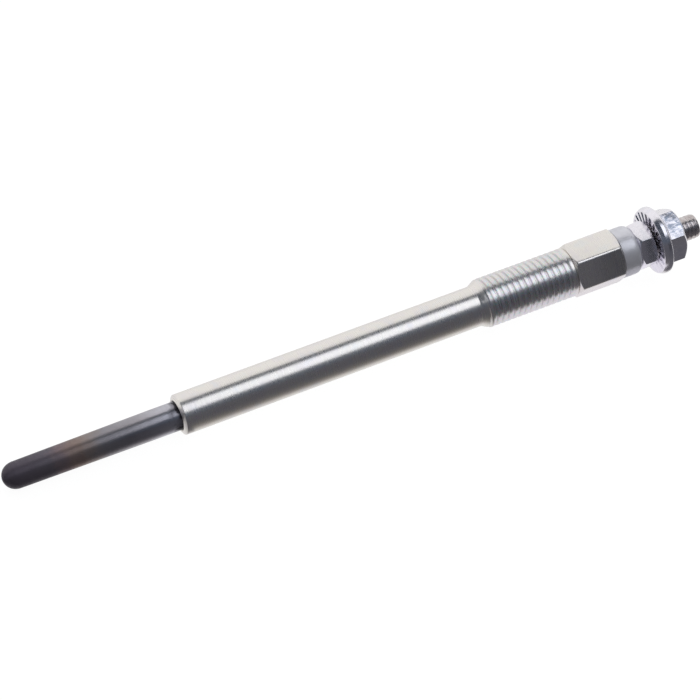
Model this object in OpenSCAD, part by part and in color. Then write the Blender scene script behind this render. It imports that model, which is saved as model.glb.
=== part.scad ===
// Diesel glow plug: a sheathed heater pressed into a long turned shell that has a fine mounting thread,
// and a terminal pin that carries two nuts on its threaded end.
// It lies along X with its hot tip towards -X, and a flat of the shell's hexagon is on top. The origin is
// on the axis, at the front end of the mounting thread. A station is a place on the axis, measured from the
// origin towards the terminal. The mounting thread is cut as a helical groove, and the fine terminal thread
// is a plain cylinder of its major diameter.

/* [Glow tube] */
// Outer diameter of the tube where it is pressed into the shell
tube_d = 4.68; // [4.5:0.02:4.9]
// Outer diameter of the tube behind its swaged nose
tube_tip_d = 4.42; // [4.2:0.02:4.5]
// Length over which the tube widens from its nose to its full diameter
tube_taper_l = 22; // [10:1:26]
// Length of tube that stands out of the shell
tube_out = 29.4; // [28:0.1:40]
// Length of tube that is pressed into the shell
tube_in = 18; // [14:0.5:30]
// Wall of the tube
tube_wall = 0.6; // [0.5:0.02:0.7]
// Thickness of the tube's closed end
tip_wall = 0.9; // [0.7:0.05:1.2]
// Length of the rounded nose
nose_l = 1.9; // [1.6:0.1:2.2]
// Squareness of the nose, where 2 is an ellipse
nose_power = 2.5; // [2:0.1:3]

/* [Coils] */
// Outside diameter of both coils
coil_d = 2.4; // [2.1:0.05:2.6]
// Diameter of the coil wire
wire_d = 0.36; // [0.3:0.02:0.4]
// Turns of the heating coil at the tip
heat_turns = 7; // [5:1:9]
// Pitch of the heating coil
heat_pitch = 0.8; // [0.6:0.05:0.9]
// Turns of the regulating coil behind it
regulate_turns = 16; // [10:1:18]
// Pitch of the regulating coil
regulate_pitch = 0.95; // [0.7:0.05:1.1]
// Clearance of the coils from the tube's end, the pin's tip and the pin's shoulder
coil_gap = 0.15; // [0.1:0.01:0.2]
// Clearance of the packed powder around the wire
pack_gap = 0.02; // [0.01:0.01:0.04]

/* [Shell] */
// Diameter of the long plain shank
shank_d = 6.55; // [6.2:0.05:7]
// Length of the shank, from the front face to the lead-in cone of the thread
shank_l = 51.6; // [45:0.1:60]
// Length of the shallow cone on the front end
front_cone_l = 0.4; // [0.2:0.05:0.8]
// Width of the flat ring between that cone and the mouth of the press bore
front_land = 0.05; // [0.02:0.01:0.2]
// Chamfer at the mouth of the press bore
mouth_chamfer = 0.2; // [0.1:0.05:0.3]
// Length of the lead-in cone of the thread
lead_l = 1.4; // [0.8:0.1:2]
// Major diameter of the mounting thread
thread_d = 8; // [7.5:0.1:9]
// Length of the mounting thread up to the hexagon
thread_l = 15.3; // [12:0.1:20]
// Pitch of the mounting thread
thread_pitch = 1; // [0.75:0.05:1.25]
// Depth of the thread's groove
groove_depth = 0.34; // [0.3:0.02:0.6]
// Width of the groove between two crests
groove_w = 0.4; // [0.3:0.02:0.66]
// Distance ahead of the thread's front end at which the groove starts
groove_lead = 1.16; // [0.6:0.02:1.6]
// Length of plain collar between the groove's end and the hexagon
collar_l = 0.55; // [0.4:0.05:2]
// Width across the flats of the hexagon
hex_af = 8.05; // [7.8:0.05:9]
// Length of the hexagon
hex_l = 8.4; // [7:0.1:12]
// Diameter of the hexagon's round end faces
hex_face_d = 7.75; // [7.3:0.05:7.85]
// Angle of the hexagon's end chamfers from its end faces
hex_chamfer_angle = 32; // [15:1:45]
// Diameter of the bore around the terminal pin
bore_d = 4.3; // [4.1:0.05:4.6]
// Diameter of the pocket for the seal and the bush
pocket_d = 6; // [5.6:0.05:6.4]
// Depth of that pocket from the back face of the hexagon
pocket_l = 5; // [4:0.1:8]

/* [Terminal pin] */
// Diameter of the pin inside the glow tube
pin_core_d = 2.2; // [2.1:0.05:2.6]
// Length of the pin's tip inside the last turns of the regulating coil
pin_grip = 3; // [1:0.1:5]
// Length that the pin's core stands out of the open end of the tube
pin_core_out = 1; // [0.5:0.1:3]
// Diameter of the pin inside the shell
pin_d = 3.2; // [2.9:0.05:3.6]
// Major diameter of the terminal thread
stud_d = 4; // [3.8:0.05:4.05]
// Length of the thread's blank inside the bush that stays unthreaded
stud_inset = 0.6; // [0.3:0.1:1.5]
// Length of stud that stands out of the terminal nut
stud_out = 3.4; // [2:0.1:8]
// Chamfer on the end of the stud
stud_chamfer = 0.45; // [0.2:0.05:0.8]

/* [Seals and bush] */
// Length of the seal in the open end of the tube
tube_seal_l = 3; // [2:0.1:5]
// Clearance around the ring in the shell's pocket
seal_gap = 0.02; // [0.01:0.01:0.05]
// Diameter of the bush where it shows
bush_d = 8; // [7.6:0.05:8.8]
// Length of the bush where it shows
bush_l = 3.3; // [2.5:0.1:5]
// Axial length of the rounded shoulder on the bush
bush_shoulder_l = 0.9; // [0.3:0.05:1.2]
// Radial width of that shoulder
bush_shoulder_w = 0.45; // [0.2:0.05:0.6]
// Clearance of the bush in its pocket and around the stud
bush_gap = 0.04; // [0.02:0.01:0.08]

/* [Nuts] */
// Width across the flats of the lock nut
lock_af = 7; // [6.6:0.05:8]
// Height of the lock nut
lock_h = 2.5; // [2:0.1:4]
// Diameter of the lock nut's round end faces
lock_face_d = 6.5; // [6:0.05:6.6]
// Turn of the lock nut about the axis, from the shell's hexagon
lock_turn = 2.5; // [0:0.5:60]
// Space between the lock nut and the terminal nut
nut_gap = 0.7; // [0.1:0.05:3]
// Width across the flats of the terminal nut
nut_af = 8; // [7.6:0.05:9]
// Height of the terminal nut with its flange
nut_h = 4.7; // [4:0.1:6]
// Diameter of the terminal nut's round back face
nut_face_d = 7.4; // [7:0.05:7.6]
// Turn of the terminal nut about the axis, from the shell's hexagon
nut_turn = 21; // [0:0.5:60]
// Angle of the chamfers on both nuts from their end faces
nut_chamfer_angle = 38; // [15:1:45]
// Diameter of the flange
flange_d = 11.1; // [10:0.1:13]
// Length of the flange with its bevel and its rim
rim_l = 1.25; // [1.1:0.05:1.35]
// Length of the bevel that leads from the bearing face to the rim
bevel_l = 0.65; // [0.2:0.05:0.8]
// Radial width of that bevel
bevel_w = 0.3; // [0.1:0.05:0.4]
// Chamfer on the back edge of the rim
rim_chamfer = 0.1; // [0.06:0.02:0.2]
// Length of the flange with the cone above its rim
flange_l = 1.7; // [1.4:0.05:2.2]
// Diameter of the flange's cone where it meets the hexagon
flange_neck_d = 8.2; // [7.6:0.1:8.8]
// Diameter of the recess in the flange's bearing face
recess_d = 6.2; // [5:0.1:6.6]
// Depth of that recess
recess_l = 0.45; // [0.2:0.05:0.6]
// Teeth of the bearing face
teeth = 22; // [12:1:30]
// Diameter of the toothed ring
teeth_d = 10.1; // [9:0.1:10.2]
// Depth of a notch between two teeth
notch_depth = 0.36; // [0.1:0.02:0.4]
// Width of a notch
notch_w = 0.4; // [0.2:0.05:0.6]
// Turn of the notches about the axis
notch_turn = 7; // [0:0.5:30]

/* [Hidden] */
$fn = 96;
// How far a cut runs past the face that it opens
past = 1;
// Straight steps in a quarter turn of a rounded outline, in a turn of a coil and in a turn of the thread
curve_steps = 10;
coil_steps = 12;
thread_steps = 20;
// Sides of a coil's wire
wire_sides = 6;
// Turns over which the thread's groove runs out
run_out = 0.65;
// How far the groove's cutter stands out of the crests
groove_rise = 0.1;

// Stations
shell_front = -lead_l - shank_l;
tip = shell_front - tube_out;
taper_end = tip + nose_l + tube_taper_l;
tube_end = shell_front + tube_in;
tube_seal_start = tube_end - tube_seal_l;
hex_end = thread_l + hex_l;
seal_seat = hex_end - pocket_l;
bush_end = hex_end + bush_l;
lock_end = bush_end + lock_h;
nut_start = lock_end + nut_gap;
nut_end = nut_start + nut_h;
pin_end = nut_end + stud_out;

// Radii used in more than one place
tube_bore_r = tube_d / 2 - tube_wall;
tip_bore_r = tube_tip_d / 2 - tube_wall;
front_r = tube_d / 2 + mouth_chamfer + front_land;
stud_r = stud_d / 2;

// Coil route: both coils follow one helix whose pitch changes where they are joined
coil_r = (coil_d - wire_d) / 2;
coil_turns = heat_turns + regulate_turns;
end_rise = (nose_l - tip_wall) * (1 - pow(1 - pow(coil_d / 2 / tip_bore_r, nose_power), 1 / nose_power));
coil_start = tip + tip_wall + end_rise + wire_d / 2 + coil_gap;
coil_end = coil_start + heat_turns * heat_pitch + regulate_turns * regulate_pitch;

// Terminal pin
pin_tip_r = coil_d / 2 - wire_d - coil_gap;
pin_shoulder = coil_end + wire_d / 2 + coil_gap;
pin_start = coil_end - pin_grip;
pin_step = tube_end + pin_core_out;

// Ring seal and the bush's spigot behind it
ring_d = (pocket_d - pin_d) / 2 - 2 * seal_gap;
ring_r = (pocket_d + pin_d) / 4;
spigot_start = seal_seat + ring_d + 2 * seal_gap;
stud_start = spigot_start + stud_inset;

// Points of a closed round nose, from the axis to its full radius.
function nose(radius, length, from) = [
    for (i = [0 : curve_steps])
        let (a = 90 * i / curve_steps)
        [radius * pow(sin(a), 2 / nose_power), from + length * (1 - pow(cos(a), 2 / nose_power))]
];

// Outline of the tube's bore from its closed end to a station.
function bore_outline(to) = concat(
    nose(tip_bore_r, nose_l - tip_wall, tip + tip_wall),
    [[tube_bore_r, taper_end], [tube_bore_r, to], [0, to]]
);

// Station of the coil's centre line after a number of turns.
function coil_station(turns) =
    coil_start + min(turns, heat_turns) * heat_pitch + max(turns - heat_turns, 0) * regulate_pitch;

// Place at a radius and a station after a number of turns about the axis, before the axis is laid along X.
function turned_place(turns, radius, station) =
    [radius * cos(360 * turns), radius * sin(360 * turns), station];

// Radius of a hexagon's corners.
function corner_r(across_flats) = across_flats / 2 / cos(30);

// Points of the quarter round that ends the bush, from its side to its end face.
function bush_shoulder() = [
    for (i = [0 : curve_steps])
        let (a = 90 * i / curve_steps)
        [
            bush_d / 2 - bush_shoulder_w * (1 - cos(a)),
            bush_end - bush_shoulder_l * (1 - sin(a))
        ]
];

// A closed outline of [radius, station] points turned about the axis.
module turned(outline) rotate([0, 90, 0]) rotate_extrude() polygon(outline);

// A hexagonal bar between two stations, with a flat on top where turn is 0.
module hex_bar(across_flats, from, to, turn) {
    rotate([0, 90, 0]) translate([0, 0, from]) rotate(30 + turn)
        cylinder(r = corner_r(across_flats), h = to - from, $fn = 6);
}

// The cone-ended barrel that chamfers a hexagon whose end faces have the two given diameters.
module hex_barrel(across_flats, from, to, front_d, back_d, angle) {
    r = corner_r(across_flats);
    turned([
        [0, from], [front_d / 2, from], [r, from + (r - front_d / 2) * tan(angle)],
        [r, to - (r - back_d / 2) * tan(angle)], [back_d / 2, to], [0, to]
    ]);
}

// A closed solid through rings of points, which all have the same number of points.
module swept(rings) {
    sides = len(rings[0]);
    last = (len(rings) - 1) * sides;
    walls = [
        for (i = [0 : len(rings) - 2], j = [0 : sides - 1], half = [0, 1])
            let (
                a = i * sides + j,
                b = i * sides + (j + 1) % sides
            )
            half == 0 ? [a, b, b + sides] : [a, b + sides, a + sides]
    ];
    ends = [
        [for (j = [sides - 1 : -1 : 0]) j],
        [for (j = [0 : sides - 1]) last + j]
    ];
    rotate([0, 90, 0])
        polyhedron([for (ring = rings, point = ring) point], concat(walls, ends), convexity = 10);
}

// Wire of a given radius along the coil route, between two counts of turns.
module wire(from, to, radius) {
    steps = ceil((to - from) * coil_steps);
    swept([
        for (i = [0 : steps])
            let (turns = from + (to - from) * i / steps)
            [
                for (j = [0 : wire_sides - 1])
                    let (a = 360 * j / wire_sides)
                    turned_place(turns, coil_r + radius * cos(a), coil_station(turns) + radius * sin(a))
            ]
    ]);
}

// The V-shaped groove of the mounting thread. It starts in the air over the lead-in cone, and lifts out
// of the crests as it nears the collar.
module thread_groove() {
    turns = (thread_l - collar_l + groove_lead) / thread_pitch;
    steps = ceil(turns * thread_steps);
    half_w = groove_w / 2 * (groove_depth + groove_rise) / groove_depth;
    swept([
        for (i = [0 : steps])
            let (
                turn = turns * i / steps,
                station = turn * thread_pitch - groove_lead,
                lift = max(0, 1 - (turns - turn) / run_out) * (groove_depth + groove_rise),
                crest_r = thread_d / 2 + groove_rise + lift,
                root_r = thread_d / 2 - groove_depth + lift
            )
            [
                turned_place(turn, crest_r, station + half_w),
                turned_place(turn, root_r, station),
                turned_place(turn, crest_r, station - half_w)
            ]
    ]);
}

// Outline of the whole pin, from its tip in the coil to the end of its stud.
module pin_form() {
    turned([
        [0, pin_start], [pin_tip_r, pin_start],
        [pin_tip_r, pin_shoulder], [pin_core_d / 2, pin_shoulder],
        [pin_core_d / 2, pin_step], [pin_d / 2, pin_step + (pin_d - pin_core_d) / 2],
        [pin_d / 2, stud_start], [stud_r, stud_start + stud_r - pin_d / 2],
        [stud_r, pin_end - stud_chamfer], [stud_r - stud_chamfer, pin_end], [0, pin_end]
    ]);
}

// A round hole for the stud through a nut.
module stud_hole(from, to) {
    rotate([0, 90, 0]) translate([0, 0, from - past]) cylinder(r = stud_r, h = to - from + 2 * past);
}

// Zinc-plated steel shell, turned in one piece with its thread and its hexagon.
module shell() color("#c8cacc") difference() {
    union() {
        turned([
            [0, shell_front], [front_r, shell_front],
            [shank_d / 2, shell_front + front_cone_l], [shank_d / 2, -lead_l],
            [thread_d / 2, 0], [thread_d / 2, thread_l], [0, thread_l]
        ]);
        intersection() {
            hex_bar(hex_af, thread_l, hex_end, 0);
            hex_barrel(hex_af, thread_l, hex_end, hex_face_d, hex_face_d, hex_chamfer_angle);
        }
    }
    turned([
        [0, shell_front - past], [tube_d / 2 + mouth_chamfer + past, shell_front - past],
        [tube_d / 2, shell_front + mouth_chamfer], [tube_d / 2, tube_end],
        [bore_d / 2, tube_end], [bore_d / 2, seal_seat],
        [pocket_d / 2, seal_seat], [pocket_d / 2, hex_end + past], [0, hex_end + past]
    ]);
    thread_groove();
}

// Heat-resistant alloy tube, closed at the tip and pressed into the shell.
module glow_tube() color("#3d3937") difference() {
    turned(concat(
        nose(tube_tip_d / 2, nose_l, tip),
        [[tube_d / 2, taper_end], [tube_d / 2, tube_end], [0, tube_end]]
    ));
    turned(bore_outline(tube_end + past));
}

// Heating coil, welded to the closed end of the tube.
module heating_coil() color("#8a8580") wire(0, heat_turns, wire_d / 2);

// Regulating coil, welded to the heating coil and to the tip of the pin.
module regulating_coil() color("#a39a8c") wire(heat_turns, coil_turns, wire_d / 2);

// Compacted magnesia powder that holds the coils and the pin in the tube.
module magnesia_filling() color("#efece4") difference() {
    turned(bore_outline(tube_seal_start));
    wire(0, coil_turns, wire_d / 2 + pack_gap);
    pin_form();
}

// Rubber ring that closes the open end of the tube.
module tube_seal() color("#2a2a2a") turned([
    [pin_core_d / 2, tube_seal_start], [tube_bore_r, tube_seal_start],
    [tube_bore_r, tube_end], [pin_core_d / 2, tube_end]
]);

// Steel pin that carries the current, with the terminal thread on its end.
module terminal_pin() color("#8c7f74") pin_form();

// Round ring seal between the pin and the shell's pocket.
module shell_seal() color("#303030") rotate([0, 90, 0])
    translate([0, 0, seal_seat + seal_gap + ring_d / 2])
    rotate_extrude() translate([ring_r, 0]) circle(d = ring_d);

// Moulded bush that insulates the pin from the shell.
module insulating_bush() color("#a9a9ab") turned(concat(
    [
        [stud_r + bush_gap, spigot_start], [pocket_d / 2 - bush_gap, spigot_start],
        [pocket_d / 2 - bush_gap, hex_end], [bush_d / 2, hex_end]
    ],
    bush_shoulder(),
    [[stud_r + bush_gap, bush_end]]
));

// Plain hexagon nut that holds the bush down.
module lock_nut() color("#c4c4c8") difference() {
    intersection() {
        hex_bar(lock_af, bush_end, lock_end, lock_turn);
        hex_barrel(lock_af, bush_end, lock_end, lock_face_d, lock_face_d, nut_chamfer_angle);
    }
    stud_hole(bush_end, lock_end);
}

// One notch between two teeth of the terminal nut's bearing face, cut outwards from the recess.
module notch() {
    translate([recess_d / 2 - past, 0, nut_start]) rotate([90, 0, 90])
        linear_extrude(teeth_d / 2 - recess_d / 2 + past)
        polygon([[-notch_w, -notch_depth], [notch_w, -notch_depth], [0, notch_depth]]);
}

// Flange nut that clamps the cable's eye, with a toothed bearing face towards the lock nut.
module terminal_nut() color("#d2d4d8") difference() {
    union() {
        turned([
            [0, nut_start], [flange_d / 2 - bevel_w, nut_start],
            [flange_d / 2, nut_start + bevel_l], [flange_d / 2, nut_start + rim_l - rim_chamfer],
            [flange_d / 2 - rim_chamfer, nut_start + rim_l],
            [flange_neck_d / 2, nut_start + flange_l], [0, nut_start + flange_l]
        ]);
        intersection() {
            hex_bar(nut_af, nut_start + rim_l, nut_end, nut_turn);
            hex_barrel(nut_af, nut_start + rim_l, nut_end, flange_d, nut_face_d, nut_chamfer_angle);
        }
    }
    stud_hole(nut_start, nut_end);
    turned([
        [0, nut_start - past], [recess_d / 2, nut_start - past],
        [recess_d / 2, nut_start], [stud_r, nut_start + recess_l], [0, nut_start + recess_l]
    ]);
    rotate([0, 90, 0]) for (i = [0 : teeth - 1]) rotate(360 / teeth * i + notch_turn) notch();
}

shell();
glow_tube();
heating_coil();
regulating_coil();
magnesia_filling();
tube_seal();
terminal_pin();
shell_seal();
insulating_bush();
lock_nut();
terminal_nut();
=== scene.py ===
"""Looks of a diesel glow plug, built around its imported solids.

The plug lies along X with its hot tip towards -X, and the origin is on its axis at the front end of the
mounting thread. Sizes are in millimetres and become metres where a mesh is made. A station is a place on
the axis. An angle about the axis is in degrees from +Z towards -Y, so a right-handed thread moves towards
+X as its angle grows.
"""

import logging
import math
from dataclasses import dataclass
from enum import Enum
from typing import Any, Sequence

import bmesh
import bpy
import numpy as np
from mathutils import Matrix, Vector


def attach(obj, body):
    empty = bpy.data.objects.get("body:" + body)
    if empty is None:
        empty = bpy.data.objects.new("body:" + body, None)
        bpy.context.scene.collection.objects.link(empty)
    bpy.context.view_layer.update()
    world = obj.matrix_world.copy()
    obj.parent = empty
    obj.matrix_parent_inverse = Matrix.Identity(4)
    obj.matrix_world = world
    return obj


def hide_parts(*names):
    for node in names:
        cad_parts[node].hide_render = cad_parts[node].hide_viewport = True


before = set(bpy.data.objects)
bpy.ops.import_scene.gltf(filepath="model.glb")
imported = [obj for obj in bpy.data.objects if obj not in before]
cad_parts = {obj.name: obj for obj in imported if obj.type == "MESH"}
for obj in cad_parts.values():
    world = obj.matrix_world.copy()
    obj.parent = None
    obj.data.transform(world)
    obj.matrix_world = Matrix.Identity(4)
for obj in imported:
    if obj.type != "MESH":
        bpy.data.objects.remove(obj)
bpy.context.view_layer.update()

LOG = logging.getLogger("glow_plug")
MM = 0.001
BODY = "root"
# Points of a mesh that lie closer than this become one.
WELD = 0.0002
# Edges that turn by more degrees than this stay sharp.
SHARP_ANGLE = 38
# A rounding takes up at most this share of each leg at its corner.
LEG_SHARE = 0.45
# Nearly all of a noise's values lie in this span.
NOISE_SPAN = {"From Min": 0.3, "From Max": 0.7}

Corner = tuple[float, float, float]
Place = tuple[float, float]
Tones = tuple[tuple[float, str], ...]
Links = dict[Any, tuple[bpy.types.Node, Any]]


def linear(colour: str) -> tuple[float, float, float, float]:
    """Turns an sRGB hex colour into linear red, green, blue and alpha.

    Args:
        colour: Six hex digits after a hash.

    Returns:
        The linear colour, with an alpha of 1.
    """
    parts = [int(colour[i:i + 2], 16) / 255 for i in (1, 3, 5)]
    red, green, blue = [p / 12.92 if p <= 0.04045 else ((p + 0.055) / 1.055) ** 2.4 for p in parts]
    return red, green, blue, 1.0


def add(
    tree: bpy.types.NodeTree, kind: str, settings: dict[Any, Any], links: Links | None = None
) -> bpy.types.Node:
    """Adds a node to a tree, with its settings and the links into it.

    Args:
        tree: Node tree of a material or of the world.
        kind: Blender's name for the node's type.
        settings: Values by name of a property or by name or number of an input. A hex colour is made
            linear, and stops is a list of places and hex colours on a colour ramp.
        links: For each input by name or number, the node and the output that feed it.

    Returns:
        The new node.
    """
    node = tree.nodes.new(kind)
    for key, value in settings.items():
        if key == "stops":
            ramp = node.color_ramp
            while len(ramp.elements) < len(value):
                ramp.elements.new(1.0)
            for element, (place, colour) in zip(ramp.elements, value):
                element.position = place
                element.color = linear(colour)
        elif isinstance(key, str) and key in node.bl_rna.properties:
            setattr(node, key, value)
        else:
            is_colour = isinstance(value, str) and value.startswith("#")
            node.inputs[key].default_value = linear(value) if is_colour else value
    for key, (source, output) in (links or {}).items():
        tree.links.new(source.outputs[output], node.inputs[key])
    return node


def blank_material(name: str) -> tuple[bpy.types.Material, bpy.types.NodeTree, bpy.types.Node]:
    """Starts a material whose patterns are measured in millimetres.

    Args:
        name: What the real material and its surface are.

    Returns:
        The material, its node tree and a node that gives the place on the object in millimetres.
    """
    material = bpy.data.materials.new(name)
    material.use_nodes = True
    tree = material.node_tree
    tree.nodes.clear()
    place = add(tree, "ShaderNodeTexCoord", {})
    millimetres = add(
        tree, "ShaderNodeVectorMath", {"operation": "SCALE", "Scale": 1 / MM}, {"Vector": (place, "Object")}
    )
    return material, tree, millimetres


def finish_surface(tree: bpy.types.NodeTree, settings: dict[Any, Any], links: Links) -> None:
    """Ends a material with its shader and its output.

    Args:
        tree: Node tree of the material.
        settings: Values for the shader's inputs.
        links: What feeds the shader's other inputs.
    """
    shader = add(tree, "ShaderNodeBsdfPrincipled", settings, links)
    add(tree, "ShaderNodeOutputMaterial", {}, {"Surface": (shader, "BSDF")})


@dataclass(frozen=True)
class ZincPlate:
    """Free-cutting steel, turned and zinc-plated, with a clear passivation.

    Turning leaves fine rings round the axis that stretch highlights across it, the plating evens them out
    to a soft mirror, and the passivation adds faint clouds of colour that show most on the thread. Each end
    of the thread is given by where that stronger colour is absent and where it is full.
    """

    name: str = "zinc_plated_turned_steel"
    plain: Tones = ((0.30, "#e0dfdd"), (0.45, "#e4e0da"), (0.58, "#e2dddb"), (0.72, "#dcdcdd"))
    tinted: Tones = (
        (0.30, "#c9dbe0"), (0.42, "#dedfd3"), (0.54, "#dfd3dc"), (0.66, "#cfdedb"), (0.76, "#d9d5e4"),
    )
    ring_spacing: float = 0.24
    ring_length: float = 6.25
    ring_depth: float = 0.01
    ring_strength: float = 0.07
    cloud_size: float = 1.9
    tint_size: float = 0.55
    thread_start: Place = (-0.6, 0.2)
    thread_end: Place = (15.0, 14.4)
    roughness: Place = (0.26, 0.3)

    def material(self) -> bpy.types.Material:
        """Makes the plated steel.

        Returns:
            The new material.
        """
        material, tree, place = blank_material(self.name)
        # The real rings are about 0.08 mm apart, and are drawn three times as coarse so that they show.
        ring_scale = (1 / self.ring_spacing, 1 / self.ring_length, 1 / self.ring_length)
        ringed = add(
            tree, "ShaderNodeVectorMath", {"operation": "MULTIPLY", 1: ring_scale}, {0: (place, "Vector")}
        )
        rings = add(
            tree, "ShaderNodeTexNoise", {"Scale": 1.0, "Detail": 3.0}, {"Vector": (ringed, "Vector")}
        )
        clouds, flecks = [
            add(
                tree, "ShaderNodeTexNoise", {"Scale": 1 / size, "Detail": detail},
                {"Vector": (place, "Vector")},
            )
            for size, detail in ((self.cloud_size, 4.0), (self.tint_size, 2.0))
        ]
        plain = add(tree, "ShaderNodeValToRGB", {"stops": self.plain}, {"Fac": (clouds, "Fac")})
        tinted = add(tree, "ShaderNodeValToRGB", {"stops": self.tinted}, {"Fac": (flecks, "Fac")})
        station = add(tree, "ShaderNodeSeparateXYZ", {}, {"Vector": (place, "Vector")})
        begins, ends = [
            add(
                tree, "ShaderNodeMapRange", {"From Min": absent, "From Max": full},
                {"Value": (station, "X")},
            )
            for absent, full in (self.thread_start, self.thread_end)
        ]
        threaded = add(
            tree, "ShaderNodeMath", {"operation": "MULTIPLY"}, {0: (begins, "Result"), 1: (ends, "Result")}
        )
        colour = add(
            tree, "ShaderNodeMix", {"data_type": "RGBA"},
            {0: (threaded, "Value"), 6: (plain, "Color"), 7: (tinted, "Color")},
        )
        roughness = add(
            tree, "ShaderNodeMapRange",
            {**NOISE_SPAN, "To Min": self.roughness[0], "To Max": self.roughness[1]},
            {"Value": (rings, "Fac")},
        )
        relief = add(
            tree, "ShaderNodeBump", {"Strength": self.ring_strength, "Distance": self.ring_depth * MM},
            {"Height": (rings, "Fac")},
        )
        finish_surface(tree, {"Metallic": 1.0}, {
            "Base Color": (colour, 2), "Roughness": (roughness, "Result"), "Normal": (relief, "Normal"),
        })
        return material


@dataclass(frozen=True)
class HeatTintedAlloy:
    """Nickel-chromium tube, ground, then coloured by red heat at its tip.

    Scale makes the tip near black and dull. Behind it the oxide thins through violet and brown to a grey
    that still mirrors. A dark ring where the tube enters the shell is painted shade, for the shadow in the
    gap between tube and shell. The colours lie between two stations, and dullness and lustre go by the share
    of the way from one to the other.
    """

    name: str = "heat_tinted_nickel_alloy"
    # The last two stops are painted shade: a dark ring for the shadow in the gap where the tube enters the
    # shell.
    tints_and_gap_shade: Tones = (
        (0.00, "#57515c"), (0.13, "#5f5963"), (0.26, "#6c6770"), (0.34, "#85767a"), (0.42, "#96857f"),
        (0.50, "#9b918f"), (0.58, "#9c999f"), (0.78, "#b3b0b6"), (0.95, "#c6c5cd"), (0.982, "#908e95"),
        (0.994, "#3a383c"),
    )
    tint_ends: Place = (-82.4, -53.0)
    blotch_size: float = 1.6
    blotch_drift: float = 0.035
    grind_spacing: float = 0.3
    grind_length: float = 10 / 3
    grind_depth: float = 0.01
    grind_strength: float = 0.15
    dull_span: Place = (0.2, 0.9)
    dullness: Place = (0.58, 0.43)
    streak_dullness: Place = (-0.03, 0.05)
    lustre_span: Place = (0.1, 0.7)
    lustre: Place = (0.45, 0.97)

    def material(self) -> bpy.types.Material:
        """Makes the tinted alloy.

        Returns:
            The new material.
        """
        material, tree, place = blank_material(self.name)
        station = add(tree, "ShaderNodeSeparateXYZ", {}, {"Vector": (place, "Vector")})
        blotches = add(
            tree, "ShaderNodeTexNoise", {"Scale": 1 / self.blotch_size, "Detail": 5.0},
            {"Vector": (place, "Vector")},
        )
        # Grinding lines run round the tube and are drawn coarser than the real 0.05 mm.
        grind_scale = (1 / self.grind_spacing, 1 / self.grind_length, 1 / self.grind_length)
        ringed = add(
            tree, "ShaderNodeVectorMath", {"operation": "MULTIPLY", 1: grind_scale}, {0: (place, "Vector")}
        )
        lines = add(
            tree, "ShaderNodeTexNoise", {"Scale": 1.0, "Detail": 4.0}, {"Vector": (ringed, "Vector")}
        )
        share = add(
            tree, "ShaderNodeMapRange", {"From Min": self.tint_ends[0], "From Max": self.tint_ends[1]},
            {"Value": (station, "X")},
        )
        drift, streaks = [
            add(
                tree, "ShaderNodeMapRange", {**NOISE_SPAN, "To Min": least, "To Max": most},
                {"Value": (noise, "Fac")},
            )
            for noise, (least, most) in (
                (blotches, (-self.blotch_drift, self.blotch_drift)), (lines, self.streak_dullness),
            )
        ]
        heat = add(
            tree, "ShaderNodeMath", {"operation": "ADD"}, {0: (share, "Result"), 1: (drift, "Result")}
        )
        colour = add(tree, "ShaderNodeValToRGB", {"stops": self.tints_and_gap_shade}, {"Fac": (heat, "Value")})
        # Thick scale hides the metal, so the tip scatters light more than it mirrors.
        dull, bare = [
            add(
                tree, "ShaderNodeMapRange",
                {"From Min": span[0], "From Max": span[1], "To Min": values[0], "To Max": values[1]},
                {"Value": (heat, "Value")},
            )
            for span, values in ((self.dull_span, self.dullness), (self.lustre_span, self.lustre))
        ]
        roughness = add(
            tree, "ShaderNodeMath", {"operation": "ADD"}, {0: (dull, "Result"), 1: (streaks, "Result")}
        )
        relief = add(
            tree, "ShaderNodeBump", {"Strength": self.grind_strength, "Distance": self.grind_depth * MM},
            {"Height": (lines, "Fac")},
        )
        around = add(tree, "ShaderNodeTangent", {"direction_type": "RADIAL", "axis": "X"})
        stretch = {"Specular IOR Level": 0.3, "Anisotropic": 0.95, "Anisotropic Rotation": 0.25}
        finish_surface(tree, stretch, {
            "Base Color": (colour, "Color"), "Metallic": (bare, "Result"),
            "Roughness": (roughness, "Value"), "Normal": (relief, "Normal"), "Tangent": (around, "Tangent"),
        })
        return material


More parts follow.
